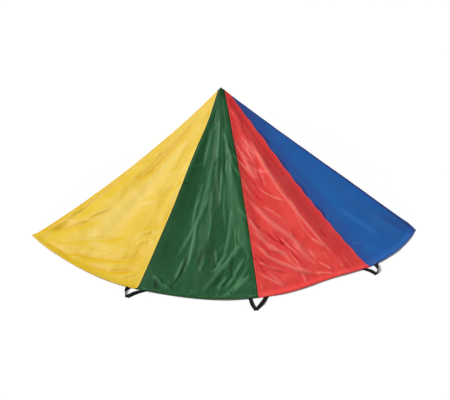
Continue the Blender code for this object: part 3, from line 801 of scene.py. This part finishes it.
# handles: flat webbing folded straight over at its tip
straps = {
    "width": 0.025,
    "thickness": 0.0016,
    "clear": 0.0001,  # above the ground
    "spread": 0.054,
    "turn": 0.00115,
    "underHem": 0.019,
    "legRows": 40,
    "turnRows": 7,
    "front": {  # seam heading, tip out and aside, and for each leg its twist in degrees, side bulge and arch
        2: (-20.1, 0.099, -0.020, ((-80, -0.018, 0.004), (-34, -0.004, 0.003))),
        3: (8.1, 0.126, -0.040, ((12, -0.007, 0.006), (-12, 0.006, 0.006))),
        4: (38.1, 0.086, -0.034, ((30, 0.004, 0.003), (78, 0.012, 0.004))),
    },
    "ride": {"half": 0.021, "side": 0.008, "deep": 0.034, "end": 0.010, "lift": 1.15},  # of the hem over an end
    "tuckedOut": 0.180,
    "tuckedInset": 0.012,
    "tuckedClear": 0.0004,  # above the tucked cloth
    "tuckedBends": ((0, -0.004, 0.004), (0, 0.005, 0.004)),
    "corner": {  # how far in from the edge, how far along it, and degrees on to take the edge's run
        "back": (0.008, 0.082, -1.5),
        "hem": (0.0475, 0.058, 4.5),
        "reach": 0.20,
    },
}


def unit(vector):
    return vector / np.linalg.norm(vector)


def frontHandle(heading, outBy, aside):  # strap end places, tip and the direction of its fold, all in plan
    seam = frontGround(heading)
    out = unit(seam)
    across = np.array((-out[1], out[0]))
    ends = []
    for side in (-1, 1):
        run = unit(frontGround(heading + side * 3.5) - seam)
        square = np.array((run[1], -run[0]))
        square = square if square @ out > 0 else -square
        ends.append((seam + run * straps["spread"], run, square))
    return ends, seam + out * outBy + across * aside, across


strapEnds = [end for row in straps["front"].values() for end in frontHandle(*row[:3])[0]]


def makeStrap(name, ends, tip, across, bends, base=straps["thickness"] / 2 + straps["clear"], startBy=0.0):
    # ends are (place, run along the hem) in plan; bends are (twist, bulge, arch) for both legs
    half, up = straps["width"] / 2, np.array((0.0, 0.0, 1.0))
    outward = np.array((across[1], -across[0]))
    outward = outward if outward @ (tip - ends[0][0]) > 0 else -outward
    legs = []
    for leg, ((place, run), (twist, bulge, arch)) in enumerate(zip(ends, bends)):
        run = run if run @ across > 0 else -run
        heading, length = unit(tip - place), np.linalg.norm(tip - place)
        forward = np.append(heading, 0.0)
        sideways = np.array((-heading[1], heading[0]))
        sideways = sideways if sideways @ across > 0 else -sideways
        rows = []
        for along in np.linspace(-startBy / length, 1, straps["legRows"]):
            part = max(along, 0.0)
            wave = math.sin(math.pi * min(part, 1.0))
            centre = place + (tip - place) * along + sideways * bulge * wave**1.5
            angle = math.radians(twist) * wave**0.6
            level = base + arch * wave**2
            if leg and part > 0:  # the second leg climbs onto the first at the tip
                level += 2 * straps["turn"] * min(1.0, 2.5 * (1 - part))
            level = max(level, base + half * abs(math.sin(angle)))
            blend = smooth(part * 1.2)
            row = unit(np.append(run * (1 - blend) + across * blend, 0.0))
            square = row - forward * (row @ forward)
            slant = forward * (row @ forward) / np.linalg.norm(square)
            square = unit(square)
            turned = square * math.cos(angle) + np.cross(forward, square) * math.sin(angle)
            rowVector = turned + slant * (blend if startBy < 0.001 else 1.0)
            normal = unit(np.cross(forward, turned))
            normal = normal if normal @ up >= -0.2 else -normal
            rows.append((np.append(centre, level), rowVector, -normal if leg else normal))
        legs.append(rows)
    first, second = legs[0], legs[1][::-1]
    turns = []
    for step in range(1, straps["turnRows"]):
        blend = step / straps["turnRows"]
        angle = math.pi * blend
        push = np.append(outward, 0.0) * math.sin(angle) * straps["turn"]
        rowVector = first[-1][1] * (1 - blend) + second[0][1] * blend
        normal = up * math.cos(angle) - np.append(outward, 0.0) * math.sin(angle)
        turns.append((np.append(tip, base + straps["turn"] * (1 - math.cos(angle))) + push, rowVector, normal))
    rows = first + turns + second
    centres = np.array([row[0] for row in rows])
    travelled = np.concatenate([[0], np.cumsum(np.linalg.norm(np.diff(centres, axis=0), axis=1))])
    thick = straps["thickness"] / 2
    section = [(x, thick) for x in (-0.94, -0.5, 0.0, 0.5, 0.94)] + [(1.0, 0.0)]
    section += [(-x, -z) for x, z in section]
    vertices, uv = [], []
    for (centre, rowVector, normal), distance in zip(rows, travelled):
        for x, z in section:
            vertices.append(centre + rowVector * half * x + normal * z)
            uv.append((x * half, distance))
    size, total = len(section), len(rows)
    faces = []
    for row in range(total - 1):
        for k in range(size):
            a, b = row * size + k, row * size + (k + 1) % size
            faces.append((a, b, b + size, a + size))
    faces.append(tuple(reversed(range(size))))
    faces.append(tuple(range((total - 1) * size, total * size)))
    vertices = np.array(vertices) + np.array((peakX, peakY, 0.0))
    vertices[:, 2] = np.maximum(vertices[:, 2], cloth["floorClear"])
    strap = makeObject(name, vertices, faces, webbing, np.array(uv))
    fixNormals(strap.data)
    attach(strap, "root")
    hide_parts(name.replace("webbing", "handle"))


def fixNormals(mesh):  # turns every face outwards
    work = bmesh.new()
    work.from_mesh(mesh)
    bmesh.ops.recalc_face_normals(work, faces=work.faces)
    work.to_mesh(mesh)
    work.free()


def operator(operation, swap=False):
    return lambda self, other: self.math(operation, other, swap)


class Value:  # a socket that can be reckoned with
    def __init__(self, shader, socket):
        self.shader, self.socket = shader, socket

    def math(self, operation, other=0.0, swap=False):
        first, second = (other, self) if swap else (self, other)
        return self.shader.node("ShaderNodeMath", {"operation": operation}, {0: first, 1: second})

    __add__ = __radd__ = operator("ADD")
    __sub__, __rsub__ = operator("SUBTRACT"), operator("SUBTRACT", swap=True)
    __mul__ = __rmul__ = operator("MULTIPLY")

    def wave(self, pitch):
        return (self * (2 * math.pi / pitch)).sine()

    def sine(self):
        return self.math("SINE")

    def absolute(self):
        return self.math("ABSOLUTE")

    def ramp(self, low, high):  # 0 at low, 1 at high, smoothly
        sockets = {"Value": self, "From Min": low, "From Max": high}
        return self.shader.node("ShaderNodeMapRange", {"interpolation_type": "SMOOTHSTEP"}, sockets)


class Shader:
    def __init__(self, name):
        self.material = bpy.data.materials.new(name)
        self.material.use_nodes = True
        self.nodes, self.links = self.material.node_tree.nodes, self.material.node_tree.links
        self.principled = self.nodes["Principled BSDF"]

    def node(self, kind, settings=None, sockets=None, output=0):
        made = self.nodes.new(kind)
        for key, value in (settings or {}).items():
            setattr(made, key, value)
        for key, value in (sockets or {}).items():
            self.put(made.inputs[key], value)
        return Value(self, made.outputs[output])

    def put(self, socket, value):
        if isinstance(value, Value):
            self.links.new(value.socket, socket)
        else:
            socket.default_value = value

    def flatMap(self):  # the piece's own flat map, and its two directions in metres
        uv = self.node("ShaderNodeUVMap", {"uv_map": "cloth"})
        directions = self.node("ShaderNodeSeparateXYZ", {}, {0: uv}).socket.node.outputs
        return uv, Value(self, directions["X"]), Value(self, directions["Y"])

    def finish(self, **sockets):
        for key, value in sockets.items():
            self.put(self.principled.inputs[key.replace("_", " ")], value)
        return self.material

    def mix(self, factor, first, second):
        made = self.nodes.new("ShaderNodeMix")
        made.data_type = "RGBA"
        self.put(made.inputs["Factor"], factor)
        self.put(made.inputs["A"], first)
        self.put(made.inputs["B"], second)
        return Value(self, made.outputs["Result"])

    def bump(self, height, distance, strength=1.0, normal=None):
        sockets = {"Height": height, "Distance": distance, "Strength": strength}
        if normal is not None:
            sockets["Normal"] = normal
        return self.node("ShaderNodeBump", {}, sockets)


def linear(red, green, blue):  # from screen values, 0 to 255
    values = [v / 255 for v in (red, green, blue)]
    return tuple(v / 12.92 if v <= 0.04045 else ((v + 0.055) / 1.055) ** 2.4 for v in values) + (1.0,)


# colours are screen values; the seam's is painted along the edges, as painted shade where seamShade is set and as a
# painted highlight where it is 0; light and dark are painted highlight and shade where the cloth is creased or patched
nylon = {
    "yellow": {
        "base": (220, 184, 40), "deep": (212, 170, 24), "pale": (224, 190, 62), "light": (228, 196, 92),
        "dark": (218, 172, 20), "seam": (240, 212, 96), "seamShade": 0.0,
        "crinkle": 0.0010, "rough": 0.32, "shine": 0.13,
    },
    "green": {
        "base": (38, 86, 50), "deep": (24, 62, 34), "pale": (44, 94, 58), "light": (72, 122, 84),
        "dark": (24, 50, 30), "seam": (10, 22, 12), "seamShade": 0.85,
        "crinkle": 0.0016, "rough": 0.34, "shine": 0.07,
    },
    "red": {
        "base": (230, 68, 64), "deep": (206, 46, 46), "pale": (236, 80, 74), "light": (244, 112, 102),
        "dark": (200, 34, 42), "seam": (240, 88, 80), "seamShade": 0.0,
        "crinkle": 0.0015, "rough": 0.32, "shine": 0.13,
    },
    "blue": {
        "base": (30, 96, 172), "deep": (52, 66, 132), "pale": (34, 102, 178), "light": (42, 108, 184),
        "dark": (46, 56, 122), "seam": (40, 44, 104), "seamShade": 0.8,
        "crinkle": 0.0010, "rough": 0.38, "shine": 0.15,
    },
}


def nylonMaterial(colour):
    look = nylon[colour]
    shader = Shader(colour + "_nylon")
    uv, across, down = shader.flatMap()
    edge = shader.node("ShaderNodeAttribute", {"attribute_name": "edge"}, output="Fac")

    def noiseAt(scale, detail=3.0, distortion=0.0, stretch=(1.0, 1.0), rough=0.5):
        mapped = shader.node("ShaderNodeMapping", {}, {"Vector": uv, "Scale": (*stretch, 1.0)})
        sockets = {"Vector": mapped, "Scale": scale, "Detail": detail, "Distortion": distortion, "Roughness": rough}
        return shader.node("ShaderNodeTexNoise", {"noise_dimensions": "3D"}, sockets)

    broad = noiseAt(3.0, 2.0)
    cloud = noiseAt(14.0, 4.0, 0.6)
    crumple = noiseAt(26.0, 4.0, 1.2, rough=0.6)
    sharp = 1 - ((crumple - 0.5) * 2).absolute()
    fineNoise = noiseAt(70.0, 3.0, 0.8)
    hem = down.ramp(canopy["slant"] - cloth["hemWidth"] - 0.002, canopy["slant"] - cloth["hemWidth"])
    hem = hem * down.ramp(canopy["slant"] + 0.004, canopy["slant"] + 0.001)
    pucker = noiseAt(1.0, 3.0, 0.4, stretch=(95.0, 22.0))
    band = 1 - edge.ramp(cloth["lapWidth"] * 0.9, cloth["lapWidth"] * 1.05)
    doubled = shader.node("ShaderNodeMath", {"operation": "MAXIMUM"}, {0: hem, 1: band})

    tone = shader.node("ShaderNodeAttribute", {"attribute_name": "tone"}, output="Fac")
    layers = [
        (broad.ramp(0.40, 0.68), "pale"),
        (cloud.ramp(0.50, 0.78) * 0.22, "deep"),
        # painted highlight (light) and painted shade (dark) from the creases and the patches
        (tone.ramp(0.0, 1.0), "light"),
        ((0 - tone).ramp(0.0, 1.0), "dark"),
        (hem * 0.35, "deep"),
    ]
    if colour == "blue":  # painted shade: darker towards its seams and its point
        layers.append(((1 - edge.ramp(0.0, 0.16)) * 0.45 + (1 - down.ramp(0.1, 0.7)) * 0.3, "deep"))
    if look["seamShade"]:  # painted shade in the crook of the seams
        layers.append(((1 - edge.ramp(0.0015, 0.0075)) * look["seamShade"], "seam"))
    else:  # the felled edge catches the light
        layers.append(((1 - edge.ramp(0.004, 0.010)) * 0.7, "seam"))
    layers.append((down.ramp(canopy["slant"] - 0.004, canopy["slant"]) * 0.25, "pale"))  # worn at the very edge
    tint = linear(*look["base"])
    for amount, shade in layers:
        tint = shader.mix(amount, tint, linear(*look[shade]))

    weave = across.wave(0.0011) * down.wave(0.0011)
    puckered = shader.bump(pucker * doubled, 0.0016, 0.8)
    crinkled = shader.bump(sharp + fineNoise * 0.35, look["crinkle"], 0.75, puckered)
    woven = shader.bump(weave, 0.00005, 0.5, crinkled)
    rough = look["rough"] + cloud * 0.12 + doubled * 0.06
    shader.principled.inputs["Specular IOR Level"].default_value = look["shine"]
    return shader.finish(Base_Color=tint, Roughness=rough, Normal=woven)


def webbingMaterial():
    shader = Shader("black_webbing")
    uv, across, along = shader.flatMap()
    ribs = (along * (2 * math.pi / 0.0022) + across.wave(0.0060) * 1.2).sine()
    cords = across.wave(0.0030)
    grain = shader.node("ShaderNodeTexNoise", {}, {"Vector": uv, "Scale": 260.0, "Detail": 3.0})
    tint = shader.mix(ribs.ramp(-0.6, 0.9) * 0.6, linear(8, 7, 10), linear(24, 22, 27))
    tint = shader.mix(grain.ramp(0.45, 0.75) * 0.35, tint, linear(34, 32, 38))
    height = ribs * 0.6 + cords * 0.4 + grain * 0.3
    shader.principled.inputs["Specular IOR Level"].default_value = 0.15
    return shader.finish(Base_Color=tint, Roughness=0.52 + grain * 0.2, Normal=shader.bump(height, 0.0004, 0.9))


def threadMaterial(colour="cream"):
    shader = Shader(colour + "_thread")
    look = nylon.get(colour, {"seam": (206, 206, 184), "pale": (238, 238, 220)})
    place = shader.node("ShaderNodeTexCoord", output="Object")
    grain = shader.node("ShaderNodeTexNoise", {}, {"Vector": place, "Scale": 900.0, "Detail": 2.0})
    tint = shader.mix(grain, linear(*look["seam"]), linear(*look["pale"]))
    return shader.finish(Base_Color=tint, Roughness=0.6, Normal=shader.bump(grain, 0.0002, 0.6))


materials = {colour: nylonMaterial(colour) for colour in nylon}
webbing, thread = webbingMaterial(), threadMaterial()
threads = {colour: threadMaterial(colour) for colour in nylon}
print("materials made")

colours = ("yellow", "green", "red", "blue") * 3
underLeft = (2, 4)  # these gores lie under the one to their left


def onTop(number, side):  # at its left seam, 0, or its right one, 1
    return number not in underLeft if side == 0 else number % 12 + 1 in underLeft


gores = {}
for number, colour in enumerate(colours, 1):
    over = [onTop(number, side) for side in (0, 1)]
    gores[number] = makeGore(number, colour, seams[number - 1], seams[number], over, materials[colour])
print("gores made:", sum(len(g.data.polygons) for g in gores.values()), "faces")

for number, gore in gores.items():
    node = f"gore_{number:02d}_{colours[number - 1]}"
    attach(gore, "root")
    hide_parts(node)
    width = goreRows[number]["width"]

for number, (heading, outBy, aside, bends) in straps["front"].items():
    ends, tip, across = frontHandle(heading, outBy, aside)
    places = [(place, run) for place, run, out in ends]
    makeStrap(f"webbing_{number:02d}", places, tip, across, bends, startBy=straps["underHem"])

for number in range(5, 13):
    seam = seams[number - 1]
    side = goreRows[number]["hem"]
    hemPoint = np.array([np.interp(0.0, goreRows[number]["u"][:, 0], side[:, k]) for k in range(2)])
    out = unit(np.array([column("outX", seam), column("outY", seam)]))
    across = np.array((-out[1], out[0]))
    places = [(hemPoint + across * s * straps["spread"] + out * straps["tuckedInset"], across) for s in (-1, 1)]
    base = cloth["thickness"] + cloth["hemExtra"] + straps["thickness"] / 2 + straps["tuckedClear"]
    tip = hemPoint + out * straps["tuckedOut"]
    makeStrap(f"webbing_{number:02d}", places, tip, across, straps["tuckedBends"], base)

corner = frontGround(canopy["leftCorner"])
atCorner = straps["corner"]
backSide = canopy["leftCorner"] + fullTurn + atCorner["back"][2]
backPlace = np.array([column(axis, backSide) + column("ripple" + axis.upper(), backSide) for axis in "xy"])
hemPlace = frontGround(canopy["leftCorner"] + atCorner["hem"][2])
places = []
for edge, place, hand in (("back", backPlace, 1), ("hem", hemPlace, -1)):
    inset, along, _ = atCorner[edge]
    run = unit(place - corner)
    inside = np.array((run[1], -run[0])) * hand
    places.append((corner + run * along + inside * inset, run))
inward = -unit(corner)
across = np.array((inward[1], -inward[0]))
makeStrap("webbing_01", places, corner + inward * atCorner["reach"], across, ((0, 0, 0), (0, 0, 0)))
print("handles made")

# stitches: short threads laid by a node tree along the hem, the seams and the boxed ends of the webbing
sewing = {
    "hemPitch": 0.0052,
    "seamPitch": 0.0058,
    "boxPitch": 0.0032,
    "hemPart": 0.78,  # how much of the pitch a thread takes up
    "seamPart": 0.72,
    "boxPart": 0.85,
    "threadWidth": 0.0006,
    "lift": 0.0001,
    "seed": 7,
    "hemInset": 0.0235,
    "seamInsets": (0.0026, 0.0092),
    "box": (0.0098, 0.0085),  # half its width and depth
    "boxInset": 0.0125,
}


def stitchTree():
    tree = bpy.data.node_groups.new("stitches", "GeometryNodeTree")
    tree.interface.new_socket("Geometry", in_out="OUTPUT", socket_type="NodeSocketGeometry")
    kinds = {"Geometry": "Geometry", "Length": "Float", "Width": "Float", "Seed": "Int", "Thread": "Material"}
    sockets = {}
    for label, kind in kinds.items():
        made = tree.interface.new_socket(label, in_out="INPUT", socket_type="NodeSocket" + kind)
        sockets[label] = made.identifier

    def add(kind, inputs=None, **settings):
        node = tree.nodes.new(kind)
        for key, value in settings.items():
            setattr(node, key, value)
        for key, value in (inputs or {}).items():
            if isinstance(value, bpy.types.NodeSocket):
                tree.links.new(value, node.inputs[key])
            else:
                node.inputs[key].default_value = value
        return node.outputs

    def direction(name):
        return add("GeometryNodeInputNamedAttribute", {"Name": name}, data_type="FLOAT_VECTOR")["Attribute"]

    given = add("NodeGroupInput")
    ball = add("GeometryNodeMeshUVSphere", {"Segments": 4, "Rings": 4, "Radius": 0.5})
    stand = add("FunctionNodeAlignRotationToVector", {"Vector": direction("facing")}, axis="Z")
    turn = add(
        "FunctionNodeAlignRotationToVector",
        {"Rotation": stand["Rotation"], "Vector": direction("running")}, axis="X", pivot_axis="Z",
    )
    vary = add("FunctionNodeRandomValue", {2: 0.86, 3: 1.08, "Seed": given["Seed"]})
    long = add("ShaderNodeMath", {0: given["Length"], 1: vary[1]}, operation="MULTIPLY")
    size = add("ShaderNodeCombineXYZ", {"X": long[0], "Y": given["Width"], "Z": given["Width"]})
    place = add("GeometryNodeInstanceOnPoints", {
        "Points": given["Geometry"], "Instance": ball["Mesh"],
        "Rotation": turn["Rotation"], "Scale": size["Vector"],
    })
    real = add("GeometryNodeRealizeInstances", {0: place["Instances"]})
    paint = add("GeometryNodeSetMaterial", {"Geometry": real[0], "Material": given["Thread"]})
    add("NodeGroupOutput", {"Geometry": paint["Geometry"]})
    return tree, sockets


stitchNodes, stitchSockets = stitchTree()


def makeStitches(name, rows, material, length):  # rows are (point, facing, running)
    points, facing, running = (np.array([row[k] for row in rows], dtype=np.float32) for k in range(3))
    mesh = bpy.data.meshes.new(name)
    mesh.from_pydata(points.tolist(), [], [])
    for label, values in (("facing", facing), ("running", running)):
        mesh.attributes.new(label, "FLOAT_VECTOR", "POINT").data.foreach_set("vector", values.ravel())
    holder = link(name + "_points", mesh)
    modifier = holder.modifiers.new("stitches", "NODES")
    modifier.node_group = stitchNodes
    given = {"Length": length, "Width": sewing["threadWidth"], "Seed": sewing["seed"], "Thread": material}
    for label, value in given.items():
        modifier[stitchSockets[label]] = value
    evaluated = holder.evaluated_get(bpy.context.evaluated_depsgraph_get())
    made = bpy.data.meshes.new_from_object(evaluated)
    made.shade_smooth()
    bpy.data.objects.remove(holder, do_unlink=True)
    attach(link(name, made), "root")


def onGore(number, u, share):  # a point on the cloth's outer face and its normal
    gore = goreRows[number]
    row = float(np.interp(share, gore["rows"], np.arange(len(gore["rows"]))))
    low = min(int(row), len(gore["rows"]) - 2)
    part = row - low
    found = []
    for key in ("grid", "normals"):
        near = [np.array([np.interp(u, gore["u"][:, r], gore[key][:, r, k]) for k in range(3)]) for r in (low, low + 1)]
        found.append(near[0] * (1 - part) + near[1] * part)
    above = np.interp(u, gore["u"][:, low + 1], gore["above"][:, low + 1])
    normal = unit(found[1])
    return found[0] + normal * above + np.array((peakX, peakY, 0.0)), normal


def sewLine(number, places, lift=sewing["lift"]):  # places are (u, share) along one line of stitches
    found = [onGore(number, u, share) for u, share in places]
    rows = []
    for k, (point, normal) in enumerate(found):
        run = found[min(k + 1, len(found) - 1)][0] - found[max(k - 1, 0)][0]
        rows.append((point + normal * lift, normal, unit(run)))
    return rows


def boxLines():  # a box with a cross in it, as points and directions
    wide, deep = sewing["box"]
    corners = [np.array(c) for c in ((-wide, -deep), (wide, -deep), (wide, deep), (-wide, deep))]
    lines = [(corners[k], corners[(k + 1) % 4]) for k in range(4)]
    lines += [(corners[0], corners[2]), (corners[1], corners[3])]
    for a, b in lines:
        count = int(round(np.linalg.norm(b - a) / sewing["boxPitch"]))
        for k in range(count):
            yield a + (b - a) * (k + 0.5) / count, unit(b - a)


hemRows, seamRows = ({colour: [] for colour in nylon} for _ in range(2))
boxRows = []
for number in range(1, 5):
    last = 1.0 if number < 4 else (canopy["rightCorner"] - seams[3]) / (seams[4] - seams[3])
    count = int(goreRows[number]["width"] * last / sewing["hemPitch"])
    share = 1 - sewing["hemInset"] / canopy["hemRadius"]
    hemRows[colours[number - 1]] += sewLine(number, [(u, share) for u in np.linspace(0.003, last - 0.003, count)])
for number in range(1, 13):
    for side in (0, 1):
        if not onTop(number, side):
            continue
        for inset in sewing["seamInsets"]:
            shares = np.arange(0.05, 0.985, sewing["seamPitch"] / canopy["slant"])
            across = np.minimum(inset / (goreRows[number]["width"] * shares), 0.08)
            line = list(zip(across if side == 0 else 1 - across, shares))
            seamRows[colours[number - 1]] += sewLine(number, line, -sewing["lift"])
for number, row in straps["front"].items():
    for side, (place, run, out) in enumerate(frontHandle(*row[:3])[0]):
        gore = number - 1 + side
        for (along, inset), direction in boxLines():
            spot = place + run * along - out * (sewing["boxInset"] + inset)
            turn = math.degrees(math.atan2(spot[0], -spot[1]))
            share = np.linalg.norm(spot) / np.linalg.norm(frontGround(turn))
            point, normal = onGore(gore, (turn - seams[gore - 1]) / (seams[gore] - seams[gore - 1]), share)
            running = np.append(run * direction[0] - out * direction[1], 0.0)
            boxRows.append((point + normal * sewing["lift"], normal, running))
for colour, rows in hemRows.items():  # pale thread stands out on the green and the red only
    hemThread = thread if colour in ("green", "red") else threads[colour]
    makeStitches(colour + "_hem_stitches", rows, hemThread, sewing["hemPitch"] * sewing["hemPart"])
makeStitches("box_stitches", boxRows, thread, sewing["boxPitch"] * sewing["boxPart"])
for colour, rows in seamRows.items():
    if rows:
        makeStitches(colour + "_seam_stitches", rows, threads[colour], sewing["seamPitch"] * sewing["seamPart"])
print("stitches made:", len(boxRows) + sum(len(rows) for rows in (*hemRows.values(), *seamRows.values())))

# floor, light and camera
floorMesh = bpy.data.meshes.new("floor")
wide = 30
floorMesh.from_pydata([(-wide, -wide, 0), (wide, -wide, 0), (wide, wide, 0), (-wide, wide, 0)], [], [(0, 1, 2, 3)])
floor = link("floor", floorMesh)
paper = Shader("pale_floor")
floorMesh.materials.append(paper.finish(Base_Color=linear(250, 250, 250), Roughness=0.9))

studio = {"sky": 0.40, "sun": 2.75, "sunAngle": 22.0, "sunFrom": (-0.80, 0.30, 1.0)}
world = bpy.data.worlds.new("studio")
bpy.context.scene.world = world
world.use_nodes = True
sky = world.node_tree.nodes["Background"].inputs
sky["Color"].default_value = (1.0, 1.0, 1.0, 1.0)
sky["Strength"].default_value = studio["sky"]
sun = bpy.data.lights.new("key", "SUN")
sun.energy = studio["sun"]
sun.angle = math.radians(studio["sunAngle"])
sunObject = link("key", sun)
sunObject.rotation_euler = Vector(studio["sunFrom"]).to_track_quat("Z", "Y").to_euler()

view = {"back": 5.739, "height": 3.052, "tilt": 29.56, "pan": 0.23, "lens": 62.3}
camera = bpy.data.cameras.new("camera")
camera.lens = view["lens"]
camera.sensor_width = 36.0
cameraObject = link("camera", camera)
cameraObject.location = (peakX, peakY - view["back"], view["height"])
cameraObject.rotation_euler = (math.radians(90 - view["tilt"]), 0.0, math.radians(-view["pan"]))
bpy.context.scene.camera = cameraObject
bpy.context.scene.view_settings.view_transform = "Standard"
print("studio ready")
